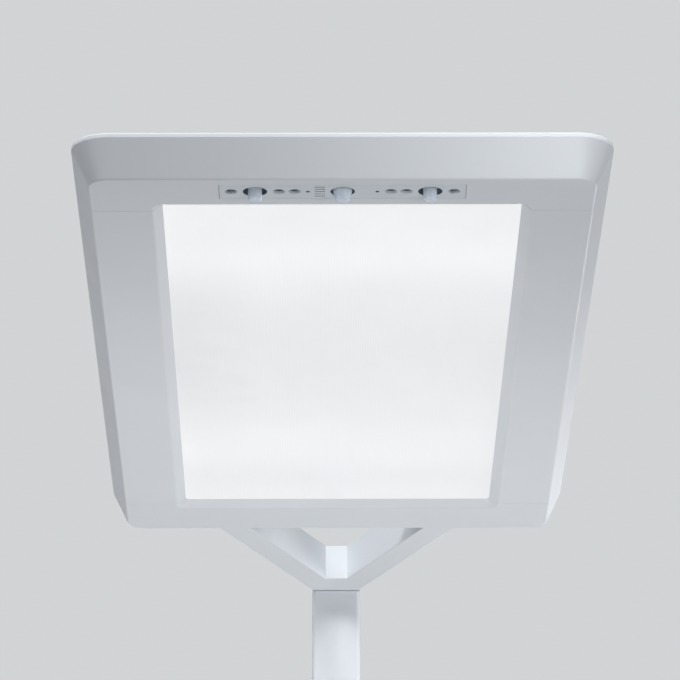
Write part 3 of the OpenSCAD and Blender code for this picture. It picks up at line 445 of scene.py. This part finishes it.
def blend(tree, fac, low, high):
    """Low where fac is 0 and high where it is 1, each of them a colour or an output."""
    return node(tree, "Mix", {"Factor": fac, 6: low, 7: high}, data_type="RGBA").outputs[2]


def sums(tree, operation, first, second=0.0):
    """Two values, each of them a number or an output, put together."""
    return node(tree, "Math", {0: first, 1: second}, operation=operation).outputs["Value"]


def bump(tree, height, depth, strength=1.0):
    lift = node(tree, "Bump", {"Height": height, "Distance": depth, "Strength": strength})
    return lift.outputs["Normal"]


def toned(colour, change):
    return tuple(min(1.0, c * change) for c in colour)


def clouded(tree, where, colour, change, size, detail=2.0):
    """A colour that slowly goes darker and lighter by that share."""
    return ramp(tree, noise(tree, where, size, detail), toned(colour, 1 - change),
                toned(colour, 1 + change))


def looked_at(tree):
    """1 for rays that come from the camera, straight, off metal or through glass."""
    path = node(tree, "LightPath", {}).outputs
    straight = sums(tree, "MAXIMUM", path["Is Camera Ray"], path["Is Transmission Ray"])
    return sums(tree, "MAXIMUM", straight, path["Is Glossy Ray"])


# ---- finishes ----

def grained(name, colour, roughness, grain, depth, change, cloud, specular):
    """A finish with fine grain, slow changes of tone and uneven gloss. Sizes are in mm."""
    finish, tree, shader = new_finish(name)
    where = place(tree)
    gloss = noise(tree, where, cloud * MM * GLOSS_SHARE, 3.0)
    fill(tree, shader, {
        "Base Color": clouded(tree, where, colour, change, cloud * MM, 3.0),
        "Roughness": levels(tree, gloss, roughness - GLOSS_CHANGE, roughness + GLOSS_CHANGE),
        "Specular IOR Level": specular,
        "Normal": bump(tree, noise(tree, where, grain * MM), depth * MM),
    })
    return finish


def drawn_metal(name, colour, roughness, along):
    """Metal with fine lines along one axis."""
    finish, tree, shader = new_finish(name)
    stretch = [LINE_STRETCH if axis == along else 1.0 for axis in "XYZ"]
    lines = noise(tree, place(tree, stretch), LINE_SIZE)
    dark, light = LINE_TONES
    fill(tree, shader, {
        "Base Color": ramp(tree, lines, toned(colour, dark), toned(colour, light)),
        "Roughness": levels(tree, lines, roughness - LINE_GLOSS, roughness + LINE_GLOSS),
        "Metallic": 1.0,
        "Normal": bump(tree, lines, FINE_BUMP),
    })
    return finish


def panel_glow(tree, where):
    """How bright the lit panel is: its curve from front to back, less the loss at its left."""
    axes = axes_of(tree, where)
    along = levels(tree, axes["Y"], 0, 1, open_low.y, open_high.y)
    curve = node(tree, "FloatCurve", {"Value": along})
    line = curve.mapping.curves[0]
    line.points[0].location = PANEL_GLOW[0]
    line.points[1].location = PANEL_GLOW[-1]
    for x, y in PANEL_GLOW[1:-1]:
        line.points.new(x, y)
    curve.mapping.update()
    cloud = levels(tree, noise(tree, where, 90 * MM), -PANEL_CHANGE, PANEL_CHANGE)
    left = levels(tree, axes["X"], LEFT_LOSS, 0, open_low.x, open_low.x * LEFT_FADE)
    between = sums(tree, "MULTIPLY", levels(tree, along, 0, 1, *LOSS_START),
                   levels(tree, along, 1, 0, *LOSS_END))
    plain = sums(tree, "ADD", curve.outputs["Value"], cloud)
    return sums(tree, "SUBTRACT", plain, sums(tree, "MULTIPLY", left, between))


def light_panel():
    """Opal acrylic with a fine grid of prisms, lit from inside: a little brighter across
    two bands near its ends, and a little darker on the left between them."""
    finish, tree, shader = new_finish("prismatic acrylic")
    where = place(tree)
    wave = {"Vector": where, "Scale": WAVE_UNIT / PRISM_PITCH}
    across, down = (node(tree, "TexWave", wave, bands_direction=axis, wave_profile="TRI")
                    for axis in "XY")
    prisms = sums(tree, "MINIMUM", across.outputs["Fac"], down.outputs["Fac"])
    fill(tree, shader, {
        "Base Color": ramp(tree, noise(tree, where, 20 * MM), (0.60, 0.60, 0.61),
                           (0.63, 0.63, 0.64)),
        "Roughness": 0.35,
        "Emission Color": PANEL_LIGHT,
        "Emission Strength": panel_glow(tree, where),
        "Normal": bump(tree, prisms, PRISM_DEPTH, PRISM_STRENGTH),
    })
    return finish


def frosted_pane():
    """Frosted acrylic over the uplight, lit from inside."""
    finish, tree, shader = new_finish("frosted acrylic")
    where = place(tree)
    fill(tree, shader, {
        "Base Color": ramp(tree, noise(tree, where, 30 * MM), (0.64, 0.66, 0.67),
                           (0.68, 0.70, 0.71)),
        "Roughness": 0.4,
        "Transmission Weight": 0.25,
        "IOR": ACRYLIC_IOR,
        "Emission Color": (1.0, 0.98, 0.95),
        "Emission Strength": levels(tree, noise(tree, where, 50 * MM), 0.20, 0.26),
        "Normal": bump(tree, noise(tree, where, 0.6 * MM, 1.0), 0.02 * MM),
    })
    return finish


def clear_pane():
    """Clear acrylic of the light guide, faintly uneven."""
    finish, tree, shader = new_finish("clear acrylic")
    where = place(tree)
    fill(tree, shader, {
        "Base Color": ramp(tree, noise(tree, where, 60 * MM), (0.90, 0.93, 0.94),
                           (0.94, 0.96, 0.97)),
        "Roughness": levels(tree, noise(tree, where, 40 * MM), 0.10, 0.20),
        "Transmission Weight": 0.9,
        "IOR": ACRYLIC_IOR,
        "Normal": bump(tree, noise(tree, where, 2 * MM, 1.0), FINE_BUMP),
    })
    return finish


def strip_moulding():
    """Light grey moulding, with painted shade: dark in the three wells, and in the depth of
    the sensors' cups.
    """
    finish, tree, shader = new_finish("strip moulding")
    where = place(tree)
    axes = axes_of(tree, where)
    depth = sums(tree, "SUBTRACT", axes["Z"], underside)
    side = sums(tree, "ABSOLUTE", axes["X"])
    outer = sums(tree, "ABSOLUTE", sums(tree, "SUBTRACT", side, presence_x))
    by_well = sums(tree, "LESS_THAN", sums(tree, "MINIMUM", side, outer), WELL_REACH)
    # Painted shade: darker the deeper a point lies in a well or in a cup
    painted_well_shade = sums(tree, "MULTIPLY", by_well, levels(tree, depth, 0, 1, *WELL_PAINTED_SHADE_DEPTHS))
    painted_cup_shade = levels(tree, depth, 0, 1, *CUP_PAINTED_SHADE_DEPTHS)
    plain = clouded(tree, where, STRIP_GREY, 0.015, 20 * MM, 3.0)
    fill(tree, shader, {
        "Base Color": blend(tree, sums(tree, "MAXIMUM", painted_well_shade, painted_cup_shade), plain, PAINTED_HOLLOW_SHADE),
        "Roughness": levels(tree, noise(tree, where, 12 * MM, 3.0), 0.48, 0.58),
        "Specular IOR Level": 0.4,
        "Normal": bump(tree, noise(tree, where, 0.5 * MM), 0.012 * MM),
    })
    return finish


def milky_lens():
    """Milky plastic that lets a little light through; painted light makes it lighter up in its
    well, and a faint painted glow stands for the panel's light that it carries up.
    """
    finish, tree, shader = new_finish("milky lens plastic")
    where = place(tree)
    # Painted light: 1 inside the well, where the lens is made lighter
    up = levels(tree, axes_of(tree, where)["Z"], 0, 1, underside - LENS_FADE,
                underside + LENS_FADE)
    fill(tree, shader, {
        "Base Color": blend(tree, up, clouded(tree, where, LENS_WHITE, 0.03, 4 * MM),
                            LENS_PAINTED_WELL_LIGHT),
        "Roughness": 0.5,
        "Transmission Weight": 0.5,
        "IOR": 1.2,
        "Subsurface Weight": 0.5,
        "Subsurface Radius": LENS_SCATTER,
        "Subsurface Scale": 1.0,
        # Painted glow for the panel's light that the lens carries
        "Emission Color": LENS_PAINTED_GLOW_COLOUR,
        "Emission Strength": LENS_PAINTED_GLOW,
        "Normal": bump(tree, noise(tree, where, 1 * MM, 1.0), FINE_BUMP),
    })
    return finish


def lit_board(axis, level):
    """White board whose light packages are yellow and glow a little. They lie past that
    level, which for axis X runs from the sides of the head to its middle."""
    finish, tree, shader = new_finish("white board " + axis.lower())
    where = place(tree)
    reach = axes_of(tree, where)[axis]
    if axis == "X":
        reach = sums(tree, "MULTIPLY", sums(tree, "ABSOLUTE", reach), -1)
    package = sums(tree, "GREATER_THAN", reach, level)
    plain = ramp(tree, noise(tree, where, 10 * MM), (0.84, 0.84, 0.82), (0.90, 0.90, 0.88))
    fill(tree, shader, {
        "Base Color": blend(tree, package, plain, PACKAGE_YELLOW),
        "Roughness": 0.45,
        "Emission Color": PACKAGE_LIGHT,
        "Emission Strength": sums(tree, "MULTIPLY", package, PACKAGE_GLOW),
    })
    return finish


def pale_floor():
    """Plain floor that shows as pale as the room and keeps the lamp's shadow, but throws
    little light back, so that the lamps above the head don't wash out the shade under it."""
    finish, tree, shader = new_finish("pale floor")
    seen = looked_at(tree)
    tone = ramp(tree, noise(tree, place(tree), FLOOR_CLOUD), FLOOR_TONE,
                toned(FLOOR_TONE, FLOOR_CHANGE))
    fill(tree, shader, {
        "Base Color": blend(tree, seen, FLOOR_BOUNCE, tone),
        "Roughness": 0.8,
        "Emission Color": FLOOR_LIGHT,
        "Emission Strength": seen,
    })
    return finish


def all_finishes():
    """The lamp's finishes, by name."""
    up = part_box("uplight_boards")[1].z - PACKAGE_T
    inward = -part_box("led_strip_right")[0].x - PACKAGE_T
    made = [grained(name, *row) for name, row in GRAINED.items()]
    made += [drawn_metal(name, *row) for name, row in DRAWN.items()]
    made += [strip_moulding(), light_panel(), clear_pane(), frosted_pane(), milky_lens(),
             lit_board("Z", up), lit_board("X", inward)]
    return {finish.name: finish for finish in made}


def finish_solids():
    """The solids that are right as they are get their finishes."""
    for finish, names in SOLIDS.items():
        for name in names:
            nodes[name].data.materials.clear()
            nodes[name].data.materials.append(look[finish])


# ---- head ----

def shell(source, joints):
    """One of the head's castings, with its outer edges rounded and its joint faces crisp."""
    piece = casting_of(source, source + "_shell")
    low, high = at_level(underside), at_level(rim_top)
    meets = [at_depth(depth) for depth in joints]

    def at_joint(edge):
        return any(meet(edge) for meet in meets)

    round_edges(piece, lambda e: low(e) and off_slot(e) and not at_joint(e), ROUND, 4)
    round_edges(piece, lambda e: high(e) and not at_joint(e) and not in_lid(e)
                and faces_out(e), RIM_ROUND, 5)
    round_edges(piece, lambda e: at_joint(e) and on_skin(e), SEAM_ROUND, 2, sharper=30)
    crease(piece, at_level(rim_top - RIM_H))
    smooth(piece)
    settle(piece, "lamp", "head_paint", "satin white paint", source)


def head_shell():
    shell("front_frame", [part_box("front_frame")[1].y])
    shell("rear_frame", [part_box("rear_frame")[0].y])
    shell("side_rail_left", [rail_front, rail_back])
    shell("side_rail_right", [rail_front, rail_back])


def covers():
    """The covers over the head and over the fork, rounded on their outlines."""
    high = at_level(rim_top)
    for source, width in (("top_cover", COVER_ROUND), ("fork_cover", LID_ROUND)):
        outline = on_side(*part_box(source))
        softened(source, source + "_panel", "head_paint", "satin white paint",
                 lambda e: high(e) and outline(e), width, 3)


def sensor_strip():
    softened("sensor_strip", "sensor_strip_moulding", "strip_plastic", "strip moulding",
             at_level(underside), STRIP_ROUND, 2, angle=25)


# ---- stand ----

def pole():
    """The tube ends a little below the neck, so that the seam between them shows."""
    piece = casting_of("pole", "pole_tube")
    for v in piece.data.vertices:
        if v.co.z > pole_high.z - IN_PLANE:
            v.co.z -= NECK_GAP
    top, bottom = at_level(pole_high.z - NECK_GAP), at_level(pole_low.z)
    round_edges(piece, lambda e: top(e) or bottom(e), POLE_ROUND, 2)
    smooth(piece)
    settle(piece, "lamp", "pole_paint", "satin white paint", "pole")


def floor_plate():
    softened("base_plate", "floor_plate", "plate_paint", "textured white paint",
             on_side(*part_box("base_plate")), PLATE_ROUND, 3, sharper=35)


def gland():
    """The gland's mouldings. The narrow step round the cap's cone stays crisp."""
    cap_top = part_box("gland_cap")[1].z
    step = at_depth(max(v.co.y for v in nodes["gland_cap"].data.vertices
                        if v.co.z > cap_top - CAP_TOP))
    for source in ("gland_body", "gland_cap", "gland_nut"):
        softened(source, source + "_moulding", "grey_plastic", "grey polyamide",
                 lambda e: not step(e), GLAND_ROUND, 2, sharper=50, angle=25)


# ---- control panel and keys ----

def control_panel():
    """Dark moulding, flush in the pole, with softened edges and softened key holes."""
    softened("control_panel", "control_panel_moulding", "panel_plastic", "panel plastic",
             at_depth(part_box("control_panel")[0].y), PANEL_ROUND, 3, sharper=60, angle=25)


def key_cap(key):
    """A key with a soft edge round its face."""
    softened(key, key + "_cap", "key_plastic", "key plastic", at_depth(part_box(key)[0].y),
             KEY_ROUND, 4, sharper=60, angle=30, body=key)


def block(name, middle, width, height):
    """A block as thick as the signs are."""
    deselect()
    bpy.ops.mesh.primitive_cube_add(size=1, location=middle, scale=(width, MARK_T, height))
    piece = bpy.context.object
    piece.name = name
    bpy.ops.object.transform_apply(location=True, rotation=True, scale=True)
    return piece


def bar(name, middle, width, height):
    """A raised bar with round ends on the face of a key, standing out towards the user."""
    piece = block(name, middle, width, height)

    def through(edge):
        """Across the bar's thickness."""
        return abs((edge.verts[0].co - edge.verts[1].co).normalized().y) > ALONG

    round_edges(piece, through, min(width, height) * MARK_END, 5)
    face = min(v.co.y for v in piece.data.vertices)
    round_edges(piece, at_depth(face), MARK_T * MARK_EDGE, 2)
    return piece


def ring(name, middle, radius, width):
    """A raised ring, open at its top."""
    piece = block(name, (0, 0, 0), width, width)
    gap = math.radians(RING_GAP)
    mesh = edit(piece, "FACE")
    for v in mesh.verts:
        v.co += Vector((0, 0, radius))
    for face in mesh.faces:
        face.select_set(face.normal.x < -ALONG)
    bmesh.update_edit_mesh(piece.data)
    bpy.ops.mesh.spin(steps=RING_STEPS, angle=2 * math.pi - gap, center=(0, 0, 0),
                      axis=(0, 1, 0))
    bpy.ops.mesh.select_all(action="SELECT")
    bpy.ops.mesh.remove_doubles(threshold=MERGE)
    bpy.ops.mesh.normals_make_consistent(inside=False)
    done()
    turn = Matrix.Translation(Vector(middle)) @ Matrix.Rotation(-gap / 2, 4, "Y")
    piece.data.transform(turn)
    return piece


def mark(key, pieces):
    """Joins a sign's pieces, which then ride on their key."""
    work_on(pieces[0])
    for piece in pieces[1:]:
        piece.select_set(True)
    if len(pieces) > 1:
        bpy.ops.object.join()
    whole = bpy.context.object
    whole.name = key + "_mark"
    smooth(whole)
    settle(whole, key, "panel_plastic", "mark ink")


def keys():
    """Three keys: brighter at the top, on and off in the middle, dimmer below."""
    for key in ("key_power", "key_brighter", "key_dimmer"):
        key_cap(key)
        low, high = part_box(key)
        face = Vector(((low.x + high.x) / 2, low.y - MARK_T * MARK_OUT,
                       (low.z + high.z) / 2))
        if key == "key_power":
            pieces = [ring(key + "_ring", face, RING_R, MARK_W),
                      bar(key + "_bar", face + Vector((0, 0, BAR_Z)), MARK_W, BAR_L)]
        else:
            pieces = [bar(key + "_across", face, MARK_L, MARK_W)]
        if key == "key_brighter":
            above = face - Vector((0, MARK_LIFT, 0))
            pieces.append(bar(key + "_up", above, MARK_W, MARK_L))
        mark(key, pieces)


# ---- studio ----

def softbox(name, where, target, width, height, power):
    light = bpy.data.lights.new(name, "AREA")
    light.shape = "RECTANGLE"
    light.size = width
    light.size_y = height
    light.energy = power
    box = bpy.data.objects.new(name, light)
    bpy.context.scene.collection.objects.link(box)
    box.location = where
    box.rotation_euler = (Vector(target) - box.location).to_track_quat("-Z", "Y").to_euler()
    box.visible_camera = False


def pale_room():
    """A world that shows a pale backdrop, and lights the lamp with a faint cool glow."""
    world = bpy.data.worlds.new("pale room")
    world.use_nodes = True
    bpy.context.scene.world = world
    tree = world.node_tree
    seen = tree.nodes["Background"]
    fill(tree, seen, {"Color": BACKDROP, "Strength": 1.0})
    lit = node(tree, "Background", {"Color": ROOM_TINT, "Strength": ROOM_LIGHT})
    mix = node(tree, "MixShader", {"Fac": looked_at(tree), 1: lit.outputs[0],
                                   2: seen.outputs[0]})
    fill(tree, tree.nodes["World Output"], {"Surface": mix.outputs[0]})


def studio():
    bpy.context.scene.view_settings.view_transform = "Standard"
    deselect()
    bpy.ops.mesh.primitive_plane_add(size=FLOOR_SIZE, location=(0, 0, 0))
    floor = bpy.context.object
    floor.name = "floor"
    floor.data.materials.append(pale_floor())
    pale_room()
    for row in SOFTBOXES:
        softbox(*row)


def camera():
    """Stands in front of the lamp and looks up at the head, turned a little to the right."""
    pitch, yaw, roll = CAMERA_TURN
    right = Vector((math.cos(yaw), math.sin(yaw), 0))
    ahead = Vector((-math.sin(yaw) * math.cos(pitch), math.cos(yaw) * math.cos(pitch),
                    math.sin(pitch)))
    up = right.cross(ahead)
    turned = right * math.cos(roll) + up * math.sin(roll)
    raised = up * math.cos(roll) - right * math.sin(roll)
    lens = bpy.data.cameras.new("camera")
    lens.lens = CAMERA_LENS
    lens.sensor_width = CAMERA_SENSOR
    lens.clip_start = CAMERA_NEAR
    eye = bpy.data.objects.new("camera", lens)
    bpy.context.scene.collection.objects.link(eye)
    turn = Matrix((turned, raised, -ahead)).transposed().to_4x4()
    eye.matrix_world = Matrix.Translation(CAMERA_AT) @ turn
    bpy.context.scene.camera = eye


look = all_finishes()
finish_solids()
head_shell()
covers()
sensor_strip()
pole()
floor_plate()
gland()
control_panel()
keys()
studio()
camera()
